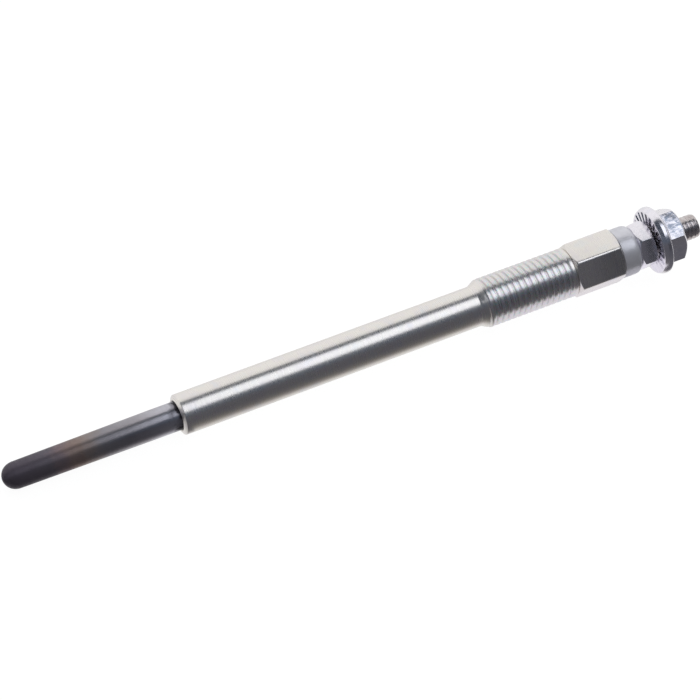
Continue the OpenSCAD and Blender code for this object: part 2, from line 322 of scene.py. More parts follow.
@dataclass(frozen=True)
class PlatedNut:
    """Cold-formed steel nut, barrel-plated bright.

    Tumbling in the barrel leaves small dents and short scratches in a bright, slightly bluish plate. Where
    a spanner and fingers have worn one face of the outer nut, the dents are deep and rubbed to a grey. That
    place is given on each axis by where wear is absent and where it is full.
    """

    name: str = "barrel_plated_steel"
    tones: Tones = ((0.32, "#e2e1e8"), (0.50, "#ebe8ee"), (0.68, "#e6e4ea"))
    scuff_size: float = 1.6
    scratch_length: float = 0.9
    scratch_narrowing: Corner = (1.0, 2.2, 1.8)
    scratch_span: Place = (0.35, 0.68)
    scratch_share: float = 0.14
    roughness: Place = (0.19, 0.26)
    dent_strength: float = 0.5
    dent_depth: float = 0.12
    worn_x: Place = (32.0, 32.6)
    worn_y: Place = (0.7, 0.4)
    worn_z: Place = (2.6, 3.4)
    unworn_dents: float = 0.024
    rubbed: str = "#7f90a6"
    rubbed_span: Place = (0.42, 0.6)
    rubbed_share: float = 0.7

    def material(self) -> bpy.types.Material:
        """Makes the plated nut.

        Returns:
            The new material.
        """
        material, tree, place = blank_material(self.name)
        scuffs = add(
            tree, "ShaderNodeTexNoise", {"Scale": 1 / self.scuff_size, "Detail": 1.2},
            {"Vector": (place, "Vector")},
        )
        scratch_scale = tuple(narrowing / self.scratch_length for narrowing in self.scratch_narrowing)
        stretched = add(
            tree, "ShaderNodeVectorMath", {"operation": "MULTIPLY", 1: scratch_scale}, {0: (place, "Vector")}
        )
        scratches = add(
            tree, "ShaderNodeTexNoise", {"Scale": 1.0, "Detail": 1.0, "Distortion": 0.6},
            {"Vector": (stretched, "Vector")},
        )
        plate = add(tree, "ShaderNodeValToRGB", {"stops": self.tones}, {"Fac": (scuffs, "Fac")})
        roughness, grey = [
            add(
                tree, "ShaderNodeMapRange",
                {"From Min": span[0], "From Max": span[1], "To Min": values[0], "To Max": values[1]},
                {"Value": (scratches, "Fac")},
            )
            for span, values in (
                (self.scratch_span, self.roughness), (self.rubbed_span, (0.0, self.rubbed_share)),
            )
        ]
        station = add(tree, "ShaderNodeSeparateXYZ", {}, {"Vector": (place, "Vector")})
        along, upwards, forwards = [
            add(
                tree, "ShaderNodeMapRange", {"From Min": absent, "From Max": full},
                {"Value": (station, axis)},
            )
            for axis, (absent, full) in (("X", self.worn_x), ("Z", self.worn_z), ("Y", self.worn_y))
        ]
        high = add(
            tree, "ShaderNodeMath", {"operation": "MULTIPLY"}, {0: (along, "Result"), 1: (upwards, "Result")}
        )
        worn = add(
            tree, "ShaderNodeMath", {"operation": "MULTIPLY"}, {0: (high, "Value"), 1: (forwards, "Result")}
        )
        handled = add(
            tree, "ShaderNodeMapRange", {"To Min": self.unworn_dents, "To Max": 1.0},
            {"Value": (worn, "Value")},
        )
        rubbed = add(
            tree, "ShaderNodeMath", {"operation": "MULTIPLY"}, {0: (grey, "Result"), 1: (worn, "Value")}
        )
        colour = add(
            tree, "ShaderNodeMix", {"data_type": "RGBA", 7: self.rubbed},
            {0: (rubbed, "Value"), 6: (plate, "Color")},
        )
        both = add(
            tree, "ShaderNodeMath", {"operation": "MULTIPLY_ADD", 1: self.scratch_share},
            {0: (scratches, "Fac"), 2: (scuffs, "Fac")},
        )
        # Both noises lie about a half, so that is taken off and the edge of the worn place is no step.
        level = add(
            tree, "ShaderNodeMath", {"operation": "SUBTRACT", 1: 0.5 * (1 + self.scratch_share)},
            {0: (both, "Value")},
        )
        height = add(
            tree, "ShaderNodeMath", {"operation": "MULTIPLY"}, {0: (level, "Value"), 1: (handled, "Result")}
        )
        relief = add(
            tree, "ShaderNodeBump", {"Strength": self.dent_strength, "Distance": self.dent_depth * MM},
            {"Height": (height, "Value")},
        )
        finish_surface(tree, {"Metallic": 1.0}, {
            "Base Color": (colour, 2), "Roughness": (roughness, "Result"), "Normal": (relief, "Normal"),
        })
        return material


@dataclass(frozen=True)
class BareSteel:
    """Bare steel or resistance wire with a rolled or drawn surface.

    Handling leaves a thin brown tarnish, darker and duller in the hollows than on what rubs.
    """

    name: str
    tones: Tones
    blotch_size: float
    roughness: float
    tarnish_dullness: float = 0.12
    relief_depth: float = 0.01
    relief_strength: float = 0.2

    def material(self) -> bpy.types.Material:
        """Makes the bare steel.

        Returns:
            The new material.
        """
        material, tree, place = blank_material(self.name)
        tarnish = add(
            tree, "ShaderNodeTexNoise", {"Scale": 1 / self.blotch_size, "Detail": 6.0},
            {"Vector": (place, "Vector")},
        )
        colour = add(tree, "ShaderNodeValToRGB", {"stops": self.tones}, {"Fac": (tarnish, "Fac")})
        roughness = add(
            tree, "ShaderNodeMapRange",
            {**NOISE_SPAN, "To Min": self.roughness + self.tarnish_dullness, "To Max": self.roughness},
            {"Value": (tarnish, "Fac")},
        )
        relief = add(
            tree, "ShaderNodeBump", {"Strength": self.relief_strength, "Distance": self.relief_depth * MM},
            {"Height": (tarnish, "Fac")},
        )
        finish_surface(tree, {"Metallic": 1.0}, {
            "Base Color": (colour, "Color"), "Roughness": (roughness, "Result"),
            "Normal": (relief, "Normal"),
        })
        return material


@dataclass(frozen=True)
class Moulding:
    """A moulded or pressed non-metal, such as glass-filled polyamide, nitrile rubber or magnesia powder.

    The mould or die gives it an even, matt skin with a fine grain and slow changes of tone.
    """

    name: str
    tones: Tones
    cloud_size: float
    grain_size: float
    roughness: Place
    grain_depth: float
    grain_strength: float = 0.2
    ior: float = 1.5
    gloss: float = 0.5
    lustre: float = 0.0

    def material(self) -> bpy.types.Material:
        """Makes the moulded skin.

        Returns:
            The new material.
        """
        material, tree, place = blank_material(self.name)
        clouds, grain = [
            add(
                tree, "ShaderNodeTexNoise", {"Scale": 1 / size, "Detail": detail},
                {"Vector": (place, "Vector")},
            )
            for size, detail in ((self.cloud_size, 5.0), (self.grain_size, 3.0))
        ]
        colour = add(tree, "ShaderNodeValToRGB", {"stops": self.tones}, {"Fac": (clouds, "Fac")})
        roughness = add(
            tree, "ShaderNodeMapRange",
            {**NOISE_SPAN, "To Min": self.roughness[0], "To Max": self.roughness[1]},
            {"Value": (grain, "Fac")},
        )
        relief = add(
            tree, "ShaderNodeBump", {"Strength": self.grain_strength, "Distance": self.grain_depth * MM},
            {"Height": (grain, "Fac")},
        )
        finish_surface(tree, {"Metallic": self.lustre, "IOR": self.ior, "Specular IOR Level": self.gloss}, {
            "Base Color": (colour, "Color"), "Roughness": (roughness, "Result"),
            "Normal": (relief, "Normal"),
        })
        return material


class Finish(Enum):
    """The plug's finishes. Each is named for the material slot of the record that it stands for."""

    ZINC_PLATED_STEEL = ZincPlate()
    HEAT_TINTED_ALLOY = HeatTintedAlloy()
    PLATED_NUT = PlatedNut()
    # Rolled thread of the terminal, grey-brown where a cable's eye has rubbed it.
    PIN_STEEL = BareSteel(
        "bare_rolled_steel", ((0.3, "#b3aaa9"), (0.5, "#c6bfbe"), (0.7, "#d2cdcd")),
        blotch_size=0.9, roughness=0.2,
    )
    # Resistance wire, drawn through dies, dull grey with a warm oxide.
    COIL_WIRE = BareSteel(
        "drawn_resistance_wire", ((0.3, "#8d867e"), (0.7, "#aaa59d")), blotch_size=0.4, roughness=0.3
    )
    # Glass-filled polyamide with a silvery pigment, which moulds to a smooth grey skin with a soft lustre.
    BUSH_PLASTIC = Moulding(
        "moulded_glass_filled_polyamide", ((0.3, "#ccccd3"), (0.5, "#d1d1d8"), (0.7, "#d5d5dc")),
        cloud_size=1.4, grain_size=0.2, roughness=(0.29, 0.39), grain_depth=0.003,
        ior=1.6, gloss=0.8, lustre=0.42,
    )
    # Swaging packs the powder to a chalky solid.
    MAGNESIA = Moulding(
        "compacted_magnesia", ((0.3, "#e6e1d8"), (0.7, "#f2eee6")),
        cloud_size=0.8, grain_size=0.12, roughness=(0.81, 0.91), grain_depth=0.01,
    )
    # Rubber from a polished mould is black with a faint bloom.
    SEAL_RUBBER = Moulding(
        "moulded_nitrile_rubber", ((0.3, "#1d1d1e"), (0.7, "#2a2a2b")),
        cloud_size=0.9, grain_size=0.15, roughness=(0.56, 0.66), grain_depth=0.006,
    )

    @property
    def slot(self) -> str:
        """The record's material slot."""
        return self.name.lower()

    def coat(self, piece: bpy.types.Object) -> None:
        """Gives a piece this finish, made on its first use.

        Args:
            piece: An object with a mesh.
        """
        material = bpy.data.materials.get(self.value.name) or self.value.material()
        piece.data.materials.clear()
        piece.data.materials.append(material)


def eased(corners: Sequence[Corner], steps: int = 4) -> list[Place]:
    """Rounds the corners of an open outline.

    Args:
        corners: Station, radius and length of rounding of each corner. The first and the last stay sharp.
        steps: Straight pieces in each rounding.

    Returns:
        Station and radius of each point of the rounded outline.
    """
    outline = [corners[0][:2]]
    for before, corner, after in zip(corners, corners[1:], corners[2:]):
        here = np.array(corner[:2])
        legs = [np.array(end[:2]) - here for end in (before, after)]
        cuts = [min(corner[2], LEG_SHARE * float(np.linalg.norm(leg))) for leg in legs]
        if min(cuts) == 0.0:
            outline.append(corner[:2])
            continue
        first, last = [here + leg / np.linalg.norm(leg) * cut for leg, cut in zip(legs, cuts)]
        for i in range(steps + 1):
            t = i / steps
            point = (1 - t) ** 2 * first + 2 * t * (1 - t) * here + t ** 2 * last
            outline.append((float(point[0]), float(point[1])))
    return [*outline, corners[-1][:2]]


def closed_nose(radius: float, length: float, start: float, power: float) -> list[Place]:
    """Gives the points of a closed nose.

    Args:
        radius: Radius behind the nose.
        length: Length of the nose.
        start: Station of its end on the axis.
        power: Squareness of the nose, where 2 is an ellipse.

    Returns:
        Station and radius of each point, from the axis outwards.
    """
    heads = np.radians(np.linspace(0, 90, 25))
    stations = start + length * (1 - np.cos(heads) ** (2 / power))
    return list(zip(stations.tolist(), (radius * np.sin(heads) ** (2 / power)).tolist()))


@dataclass(frozen=True)
class ThreadForm:
    """A right-handed 60 degree thread.

    Attributes:
        pitch: Distance from crest to crest.
        crest_r: Radius of the crests.
        depth: Depth of the groove.
        crest: Width of a crest as a share of the pitch.
        root: Width of the groove's floor as a share of the pitch.
        station: Station of a crest's middle at an angle of 0.
        under: How far below the groove's floor the thread's cut end lies.
    """

    pitch: float
    crest_r: float
    depth: float
    crest: float
    root: float
    station: float
    under: float = 0.02

    @property
    def under_r(self) -> float:
        """Radius just below the groove's floor."""
        return self.crest_r - self.depth - self.under

    def rows(self) -> list[Place]:
        """Gives the rows of points across one pitch, which round the crest and the groove's floor.

        Returns:
            Places as shares of the pitch from the crest's middle, and the share of the depth at each.
        """
        flank = (1 - self.crest - self.root) / 2
        top, low = self.crest / 2, self.crest / 2 + flank
        half = [
            (0.0, 0.0), (top * 0.6, 0.01), (top, 0.06), (top + 0.12 * flank, 0.16),
            (top + 0.5 * flank, 0.52), (low - 0.14 * flank, 0.86), (low, 0.96),
        ]
        mirrored = [(-place, share) for place, share in half[:0:-1]]
        return [(-0.5, 1.0), *mirrored, *half]


@dataclass(frozen=True)
class Hexagon:
    """A hexagon about the axis with slightly rounded corners.

    Attributes:
        across_flats: Width across its flats.
        turn: Angle of the middle of one flat.
        edge: Radius of its corners.
        face_r: Radius of the round end faces that its chamfers leave.
        chamfer_angle: Angle of the chamfers from the end faces, in degrees.
        ease: Greatest length of the roundings at the chamfers' edges.
        corner_steps: Straight pieces in half a corner.
    """

    across_flats: float
    turn: float
    edge: float
    face_r: float
    chamfer_angle: float
    ease: float = 0.09
    corner_steps: int = 3

    def outline(self, columns: int) -> tuple[np.ndarray, np.ndarray]:
        """Gives its outline, starting at a corner.

        Args:
            columns: Number of points, a multiple of six.

        Returns:
            Radius and angle of each point.
        """
        arc = self.corner_steps
        flat_points = columns // 6 - 2 * arc - 1
        centre_r = (self.across_flats / 2 - self.edge) / math.cos(math.radians(30))
        points: list[complex] = []
        for side in range(6):
            corner = self.turn - 30 + 60 * side
            rounds = []
            for at, offsets in ((corner, range(0, arc + 1)), (corner + 60, range(-arc, 0))):
                heads = [at + 30 * step / arc for step in offsets]
                middle = centre_r * np.exp(1j * math.radians(at))
                rounds.append([middle + self.edge * np.exp(1j * math.radians(head)) for head in heads])
            start, end = rounds[0][-1], rounds[1][0]
            flat = [start + (end - start) * i / (flat_points + 1) for i in range(1, flat_points + 1)]
            points += [*rounds[0], *flat, *rounds[1]]
        outline = np.array(points)
        return np.abs(outline), np.degrees(np.unwrap(np.angle(outline)))

    def end_rings(self, columns: int, face: float, inwards: int) -> list[tuple[np.ndarray, np.ndarray]]:
        """Gives the rings of a chamfered end, from the end face to the flats.

        Args:
            columns: Number of points in a ring.
            face: Station of the end face.
            inwards: 1 where the hexagon lies towards +X of that face, and -1 where it lies towards -X.

        Returns:
            Stations and radii of each ring.
        """
        radii = self.outline(columns)[0]
        angle = math.radians(self.chamfer_angle)
        ease = np.minimum(self.ease, 0.3 * (radii - self.face_r) / math.cos(angle))
        chamfer_l = (radii - self.face_r) * math.tan(angle)
        depths_and_radii = [
            (0.0 * radii, self.face_r - ease),
            (0.35 * ease * math.sin(angle), self.face_r - 0.1 * ease),
            (ease * math.sin(angle), self.face_r + ease * math.cos(angle)),
            (chamfer_l - ease * math.sin(angle), radii - ease * math.cos(angle)),
            (chamfer_l + 0.2 * ease, radii - 0.2 * ease * math.cos(angle)),
            (chamfer_l + ease, radii),
        ]
        return [(face + inwards * depth, radius) for depth, radius in depths_and_radii]


class Skin:
    """A closed surface of rings about the plug's axis, which all have the same number of points."""

    def __init__(self, columns: int, first_angle: float = 0.0) -> None:
        """Starts an empty surface.

        Args:
            columns: Number of points in a ring.
            first_angle: Angle of the first point of each ring.
        """
        self.columns = columns
        self.first_angle = first_angle
        self.angles = first_angle + 360 / columns * np.arange(columns)
        self.rings: list[np.ndarray] = []
        self.faces: list[tuple[int, ...]] = []
        self.last: int | None = None

    def place(self, stations: Any, radii: Any, angles: np.ndarray | None = None) -> int:
        """Adds a ring's points without joining them.

        Args:
            stations: One station, or one for each point.
            radii: One radius, or one for each point.
            angles: Angle of each point where the points aren't evenly spaced.

        Returns:
            The ring's number.
        """
        turn = np.radians(self.angles if angles is None else angles)
        level = np.broadcast_to(np.asarray(stations, float), turn.shape)
        self.rings.append(np.column_stack((level, -radii * np.sin(turn), radii * np.cos(turn))))
        return len(self.rings) - 1

    def join(self, first: int, second: int) -> None:
        """Adds the faces between two rings.

        Args:
            first: Number of one ring.
            second: Number of the other.
        """
        n = self.columns
        for j in range(n):
            k = (j + 1) % n
            self.faces.append((first * n + j, first * n + k, second * n + k, second * n + j))

    def ring(self, stations: Any, radii: Any, angles: np.ndarray | None = None) -> None:
        """Adds a ring and joins it to the last one.

        Args:
            stations: One station, or one for each point.
            radii: One radius, or one for each point.
            angles: Angle of each point where the points aren't evenly spaced.
        """
        new = self.place(stations, radii, angles)
        if self.last is not None:
            self.join(self.last, new)
        self.last = new

    def turned(self, outline: Sequence[Place]) -> None:
        """Adds a round ring at each station and radius of an outline."""
        for station, radius in outline:
            self.ring(station, radius)

    def hexagon_end(self, hexagon: Hexagon, face: float, inwards: int) -> None:
        """Adds the rings of a hexagon's chamfered end, in their order along X.

        Args:
            hexagon: The hexagon.
            face: Station of the end face.
            inwards: 1 where the hexagon lies towards +X of that face, and -1 where it lies towards -X.
        """
        angles = hexagon.outline(self.columns)[1]
        for stations, radii in hexagon.end_rings(self.columns, face, inwards)[::inwards]:
            self.ring(stations, radii, angles)

    def thread(self, form: ThreadForm, limit: Sequence[Place], fade: Sequence[Place]) -> None:
        """Adds a thread whose grid runs along its helix, so that its crests stay sharp.

        Args:
            form: The thread's form.
            limit: Stations and radii of the outline that the thread is cut into. The thread lies between
                its ends, where the limit is under the groove's floor or the depth has faded out.
            fade: Stations and shares of the groove's depth there.
        """
        start, end = limit[0][0], limit[-1][0]
        lead = self.first_angle / 360
        first_turn = math.floor((start - form.station) / form.pitch - lead) - 2
        last_turn = math.ceil((end - form.station) / form.pitch - lead) + 1
        rows = []
        for turn in range(first_turn, last_turn + 1):
            for across, share in form.rows():
                stations = form.station + form.pitch * (turn + across + self.angles / 360)
                stations = np.clip(stations, start, end)
                depths = form.depth * share * np.interp(stations, *zip(*fade))
                outside = np.interp(stations, *zip(*limit))
                rows.append(self.place(stations, np.minimum(outside, form.crest_r - depths)))
        n, step, final = self.columns, len(form.rows()), len(rows) - 1
        for k in range(final):
            for j in range(n - 1):
                low, high = rows[k] * n + j, rows[k + 1] * n + j
                self.faces.append((low, low + 1, high + 1, high))
            over, next_over = rows[min(k + step, final)] * n, rows[min(k + 1 + step, final)] * n
            self.faces.append((rows[k] * n + n - 1, over, next_over, rows[k + 1] * n + n - 1))
        self.last = self.place(end, limit[-1][1])

    def piece(self, name: str, finish: Finish, *nodes: str) -> None:
        """Makes the surface an object on its body that stands for its CAD node.

        Args:
            name: The object's name.
            finish: Its finish.
            nodes: CAD nodes that it stands for.
        """
        mesh = bpy.data.meshes.new(name)
        points = np.concatenate(self.rings) * MM
        mesh.from_pydata(points.tolist(), [], self.faces)
        solid = bmesh.new()
        solid.from_mesh(mesh)
        bmesh.ops.remove_doubles(solid, verts=solid.verts, dist=WELD * MM)
        bmesh.ops.dissolve_degenerate(solid, edges=solid.edges, dist=WELD * MM)
        bmesh.ops.recalc_face_normals(solid, faces=solid.faces)
        solid.to_mesh(mesh)
        solid.free()
        mesh.shade_smooth()
        mesh.set_sharp_from_angle(angle=math.radians(SHARP_ANGLE))
        obj = bpy.data.objects.new(name, mesh)
        bpy.context.scene.collection.objects.link(obj)
        finish.coat(obj)
        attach(obj, BODY)
        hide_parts(*nodes)
        LOG.info("%s: %d faces in %s", name, len(mesh.polygons), finish.value.name)


@dataclass
class Shell:
    """Turned shell: front cone, long shank, mounting thread and hexagon, bored for the pin and the tube.

    The thread starts on a lead-in cone, whose top is given by stations and by depths under the crests, and
    runs out before a plain collar, given by the distances from the collar between which it fades.
    """

    front: float = -53.0
    mouth: float = 0.2
    front_r: float = 2.59
    front_ease: float = 0.03
    cone_l: float = 0.4
    cone_ease: float = 0.1
    tube_r: float = 2.34
    tube_end: float = -35.0
    shank_r: float = 3.275
    lead_l: float = 1.4
    lead_ease: float = 0.25
    lead_top: tuple[Place, ...] = ((-0.1, 0.04), (0.15, 0.0))
    run_out: Place = (0.75, 0.2)
    collar_l: float = 0.45
    collar_edge: float = 0.12
    collar_ease: float = 0.2
    hex_start: float = 15.3
    hex_end: float = 23.7
    bore_r: float = 2.15
    pocket_r: float = 3.0
    pocket_end: float = 18.7
    columns: int = 144
    thread: ThreadForm = ThreadForm(pitch=1.0, crest_r=4.0, depth=0.31, crest=0.52, root=0.14, station=-0.16)
    hexagon: Hexagon = Hexagon(across_flats=8.05, turn=0.0, edge=0.55, face_r=3.875, chamfer_angle=32)

    def build(self) -> None:
        """Builds the shell from the press bore round the outside and back through the pin's bore."""
        skin = Skin(self.columns, self.hexagon.turn - 30)
        crest_r = self.thread.crest_r
        cut_r = self.thread.under_r
        cut_start = -self.lead_l * (crest_r - cut_r) / (crest_r - self.shank_r)
        skin.turned(eased([
            (self.tube_end, self.tube_r, 0.0), (self.front + self.mouth, self.tube_r, self.front_ease),
            (self.front, self.tube_r + self.mouth, self.front_ease),
            (self.front, self.front_r, self.front_ease),
            (self.front + self.cone_l, self.shank_r, self.cone_ease),
            (-self.lead_l, self.shank_r, self.lead_ease), (cut_start, cut_r, 0.0),
        ]))
        collar = self.hex_start - self.collar_l
        fade_from, fade_to = [collar - distance for distance in self.run_out]
        lead = [(station, crest_r - depth) for station, depth in self.lead_top]
        skin.thread(
            self.thread, [(cut_start, cut_r), *lead, (collar, crest_r)],
            [(cut_start, 1.0), (fade_from, 1.0), (fade_to, 0.0), (collar, 0.0)],
        )
        skin.turned(eased([
            (collar, crest_r, 0.0), (self.hex_start - self.collar_edge, crest_r, self.collar_ease),
            (self.hex_start, self.hexagon.face_r - self.collar_edge, 0.0),
        ]))
        skin.hexagon_end(self.hexagon, self.hex_start, 1)
        skin.hexagon_end(self.hexagon, self.hex_end, -1)
        skin.turned([
            (self.hex_end, self.pocket_r), (self.pocket_end, self.pocket_r), (self.pocket_end, self.bore_r),
            (self.tube_end, self.bore_r),
        ])
        skin.join(skin.last, 0)
        skin.piece("plated_shell", Finish.ZINC_PLATED_STEEL, "shell")


@dataclass
class GlowTube:
    """Closed alloy tube with a swaged nose, pressed into the shell.

    What shows is ground a little smaller than what is pressed in, with a step just inside the shell.
    """

    tip: float = -82.2
    tip_r: float = 2.16
    ground_r: float = 2.31
    full_r: float = 2.34
    step_start: float = -52.9
    step_end: float = -52.7
    nose_l: float = 2.4
    nose_power: float = 2.1
    taper_l: float = 22.0
    end: float = -35.0
    bore_tip: float = -81.5
    bore_tip_r: float = 1.61
    bore_nose_l: float = 1.0
    bore_power: float = 2.5
    bore_taper_end: float = -58.5
    bore_r: float = 1.74
    columns: int = 128

    def build(self) -> None:
        """Builds the tube's outside and its bore."""
        skin = Skin(self.columns)
        taper_end = self.tip + self.nose_l + self.taper_l
        bore_tip = closed_nose(self.bore_tip_r, self.bore_nose_l, self.bore_tip, self.bore_power)
        skin.turned(closed_nose(self.tip_r, self.nose_l, self.tip, self.nose_power))
        skin.turned([
            (taper_end, self.ground_r), (self.step_start, self.ground_r), (self.step_end, self.full_r),
            (self.end, self.full_r), (self.end, self.bore_r), (self.bore_taper_end, self.bore_r),
            *reversed(bore_tip),
        ])
        skin.piece("heat_tinted_tube", Finish.HEAT_TINTED_ALLOY, "glow_tube")


@dataclass
class TerminalPin:
    """Steel pin from the coils to the terminal, with a rolled thread on its end.

    The edge of the end is rounded by points at distances before the end and below the thread's floor.
    """

    start: float = -63.14
    tip_r: float = 0.69
    shoulder: float = -59.81
    core_r: float = 1.1
    step: float = -34.0
    pin_r: float = 1.6
    stud_start: float = 20.7
    end: float = 38.3
    chamfer: float = 0.45
    end_edge: tuple[Place, ...] = ((0.06, 0.0), (0.02, 0.04), (0.0, 0.12))
    columns: int = 96
    thread: ThreadForm = ThreadForm(pitch=0.7, crest_r=1.98, depth=0.13, crest=0.45, root=0.1, station=0.1)

    def build(self) -> None:
        """Builds the pin from its tip in the coil to the end of its stud."""
        skin = Skin(self.columns)
        stud_r = self.thread.crest_r
        full = self.stud_start + stud_r - self.pin_r
        skin.turned([
            (self.start, 0.0), (self.start, self.tip_r), (self.shoulder, self.tip_r),
            (self.shoulder, self.core_r), (self.step, self.core_r),
            (self.step + self.pin_r - self.core_r, self.pin_r), (self.stud_start, self.pin_r),
            (full, stud_r),
        ])
        edge = [(self.end - before, self.thread.under_r - below) for before, below in self.end_edge]
        skin.thread(
            self.thread, [(full, stud_r), (self.end - self.chamfer, stud_r), edge[0]],
            [(full, 0.0), (full + self.thread.pitch, 1.0), (self.end, 1.0)],
        )
        skin.turned([*edge[1:], (self.end, 0.0)])
        skin.piece("threaded_terminal_pin", Finish.PIN_STEEL, "terminal_pin")


@dataclass
class InsulatingBush:
    """Moulded bush behind the hexagon, with a spigot in the shell."""

    spigot_start: float = 20.1
    spigot_r: float = 2.96
    bore_r: float = 2.04
    seat: float = 23.7
    seat_edge: float = 0.06
    end: float = 26.7
    radius: float = 4.0
    shoulder_l: float = 0.9
    shoulder_w: float = 0.45
    columns: int = 128

    def build(self) -> None:
        """Builds the bush with its quarter-round shoulder."""
        skin = Skin(self.columns)
        heads = np.radians(np.linspace(0, 90, 15))
        stations = self.end - self.shoulder_l * (1 - np.sin(heads))
        radii = self.radius - self.shoulder_w * (1 - np.cos(heads))
        edge = self.seat_edge
        skin.turned([
            (self.spigot_start, self.bore_r), (self.spigot_start, self.spigot_r), (self.seat, self.spigot_r),
            (self.seat, self.radius - edge), (self.seat + edge / 3, self.radius - edge / 3),
            (self.seat + edge, self.radius), *zip(stations.tolist(), radii.tolist()),
            (self.end, self.bore_r),
        ])
        skin.join(skin.last, 0)
        skin.piece("moulded_bush", Finish.BUSH_PLASTIC, "insulating_bush")


@dataclass
class LockNut:
    """Plain hexagon nut that holds the bush down."""

    start: float = 26.7
    end: float = 29.75
    bore_r: float = 2.0
    sink_r: float = 2.25
    columns: int = 144
    hexagon: Hexagon = Hexagon(across_flats=7.0, turn=2.5, edge=0.1, face_r=3.25, chamfer_angle=38)

    def build(self) -> None:
        """Builds the nut with both ends chamfered and its bore countersunk."""
        skin = Skin(self.columns, self.hexagon.turn - 30)
        sink_l = self.sink_r - self.bore_r
        skin.turned([(self.start + sink_l, self.bore_r), (self.start, self.sink_r)])
        skin.hexagon_end(self.hexagon, self.start, 1)
        skin.hexagon_end(self.hexagon, self.end, -1)
        skin.turned([(self.end, self.sink_r), (self.end - sink_l, self.bore_r)])
        skin.join(skin.last, 0)
        skin.piece("plain_lock_nut", Finish.PLATED_NUT, "lock_nut")


@dataclass
class TerminalNut:
    """Flange nut with a toothed bearing face towards the lock nut.

    A fillet joins the flange to the hexagon. Its foot is given by distances from the hexagon on the flange,
    and its top by heights above the flange and distances from the hexagon.
    """

    start: float = 29.98
    end: float = 34.9
    bore_r: float = 2.0
    sink_r: float = 2.3
    recess_r: float = 3.1
    recess_l: float = 0.45
    recess_edge: Place = (0.02, 0.03)
    recess_share: float = 0.6
    teeth: int = 22
    first_notch: float = 174.2
    teeth_r: float = 5.05
    teeth_round: float = 0.2
    wall_w: float = 0.06
    ramp_w: float = 0.6
    notch_depth: float = 0.19
    face_gap: float = 0.05
    flange_r: float = 5.55
    bevel_l: float = 0.7
    bevel_w: float = 0.3
    bevel_ease: float = 0.08
    rim_l: float = 1.62
    rim_edge: float = 0.3
    rim_ease: float = 0.2
    rim_gap: float = 0.1
    flange_l: float = 2.05
    neck_r: float = 4.1
    fillet_foot: Place = (0.12, 0.05)
    fillet_top: tuple[Place, ...] = ((0.02, 0.012), (0.08, 0.0))
    columns: int = 660
    hexagon: Hexagon = Hexagon(across_flats=8.0, turn=21.0, edge=0.12, face_r=3.7, chamfer_angle=38)

    def notches(self, skin: Skin, radius: float) -> np.ndarray:
        """Gives the depths of the bearing face's notches, which make saw-shaped teeth.

        Args:
            skin: The nut's surface.
            radius: Radius of the ring of points.

        Returns:
            A depth for each point.
        """
        spacing = 360 / self.teeth
        offset = (skin.angles - self.first_notch + spacing / 2) % spacing - spacing / 2
        across = np.radians(offset) * radius
        past = max(0.0, (radius - self.teeth_r + self.teeth_round) / self.teeth_round)
        share = math.sqrt(max(0.0, 1 - past ** 2))
        wall = (across + self.wall_w) / self.wall_w
        ramp = 1 - across / self.ramp_w
        return self.notch_depth * share * np.clip(np.minimum(wall, ramp), 0, 1)

    def build(self) -> None:
        """Builds the nut from its bore over its face, the flange and the hexagon to its back."""
        skin = Skin(self.columns, self.hexagon.turn - 30)
        skin.turned([(self.start + self.recess_l, self.bore_r)])
        edge_l, edge_w = self.recess_edge
        inner_notches = self.recess_share * self.notches(skin, self.recess_r)
        skin.ring(self.start + edge_l + inner_notches, self.recess_r - edge_w)
        inner = np.linspace(self.recess_r, self.teeth_r - self.teeth_round, 8)
        outer = self.teeth_r - self.teeth_round * np.cos(np.radians(np.linspace(0, 75, 6)))
        for radius in [*inner, *outer[1:], self.teeth_r]:
            skin.ring(self.start + self.notches(skin, radius), radius)
        rim = self.start + self.rim_l
        shoulder_r = self.flange_r - self.rim_edge
        skin.turned(eased([
            (self.start, self.teeth_r + self.face_gap, 0.0),
            (self.start, self.flange_r - self.bevel_w, self.bevel_ease),
            (self.start + self.bevel_l, self.flange_r, self.bevel_ease),
            (rim - self.rim_edge, self.flange_r, self.rim_ease), (rim, shoulder_r, 0.0),
        ]))
        radii, angles = self.hexagon.outline(self.columns)
        slope = (self.flange_l - self.rim_l) / (shoulder_r - self.neck_r)
        root = rim + slope * (shoulder_r - radii)
        skin.ring(rim + slope * self.rim_gap, shoulder_r - self.rim_gap)
        for gap in self.fillet_foot:
            skin.ring(root - slope * gap, radii + gap, angles)
        for height, gap in self.fillet_top:
            skin.ring(root + height, radii + gap, angles)
        skin.hexagon_end(self.hexagon, self.end, -1)
        sink_l = self.sink_r - self.bore_r
        skin.turned([(self.end, self.sink_r), (self.end - sink_l, self.bore_r)])
        skin.join(skin.last, 0)
        skin.piece("toothed_flange_nut", Finish.PLATED_NUT, "terminal_nut")


@dataclass(frozen=True)
class Insides:
    """Pieces inside the plug, which keep their CAD shapes."""

    finishes: tuple[tuple[str, Finish], ...] = (
        ("heating_coil", Finish.COIL_WIRE), ("regulating_coil", Finish.COIL_WIRE),
        ("magnesia_filling", Finish.MAGNESIA), ("tube_seal", Finish.SEAL_RUBBER),
        ("shell_seal", Finish.SEAL_RUBBER),
    )

    def dress(self) -> None:
        """Gives each carried-over node its finish."""
        for node, finish in self.finishes:
            finish.coat(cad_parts[node])
            LOG.info("%s: kept from the solids, in %s", node, finish.value.name)


